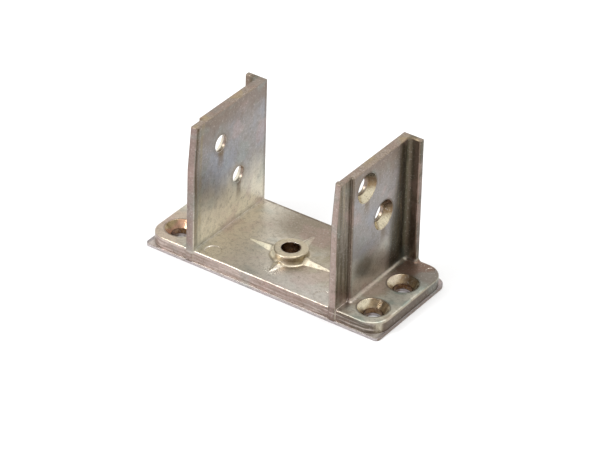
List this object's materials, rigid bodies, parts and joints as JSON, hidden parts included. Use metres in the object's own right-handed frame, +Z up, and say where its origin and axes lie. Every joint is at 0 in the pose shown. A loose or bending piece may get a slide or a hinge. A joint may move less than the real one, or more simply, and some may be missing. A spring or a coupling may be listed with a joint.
{
  "type": "die-cast U bracket",
  "caption": "Zinc die-cast U bracket: a flanged base with two uprights, a ribbed boss and countersunk screw holes, for seating a rail or post.",
  "frame": {"origin": "centre of the underside of the base, at the middle of its length and depth", "axes": "+X along the base from the left upright to the right upright, +Y from the open front rims of the uprights to their rear flanges, +Z up through the boss"},
  "size_m": [0.0858, 0.0382, 0.0478],
  "materials": {
    "bracket": "as-cast zinc alloy under pale yellow iridescent passivation, satin with fine cast grain"
  },
  "bodies": {
    "root": {"bracket": "bracket"}
  },
  "joints": []
}
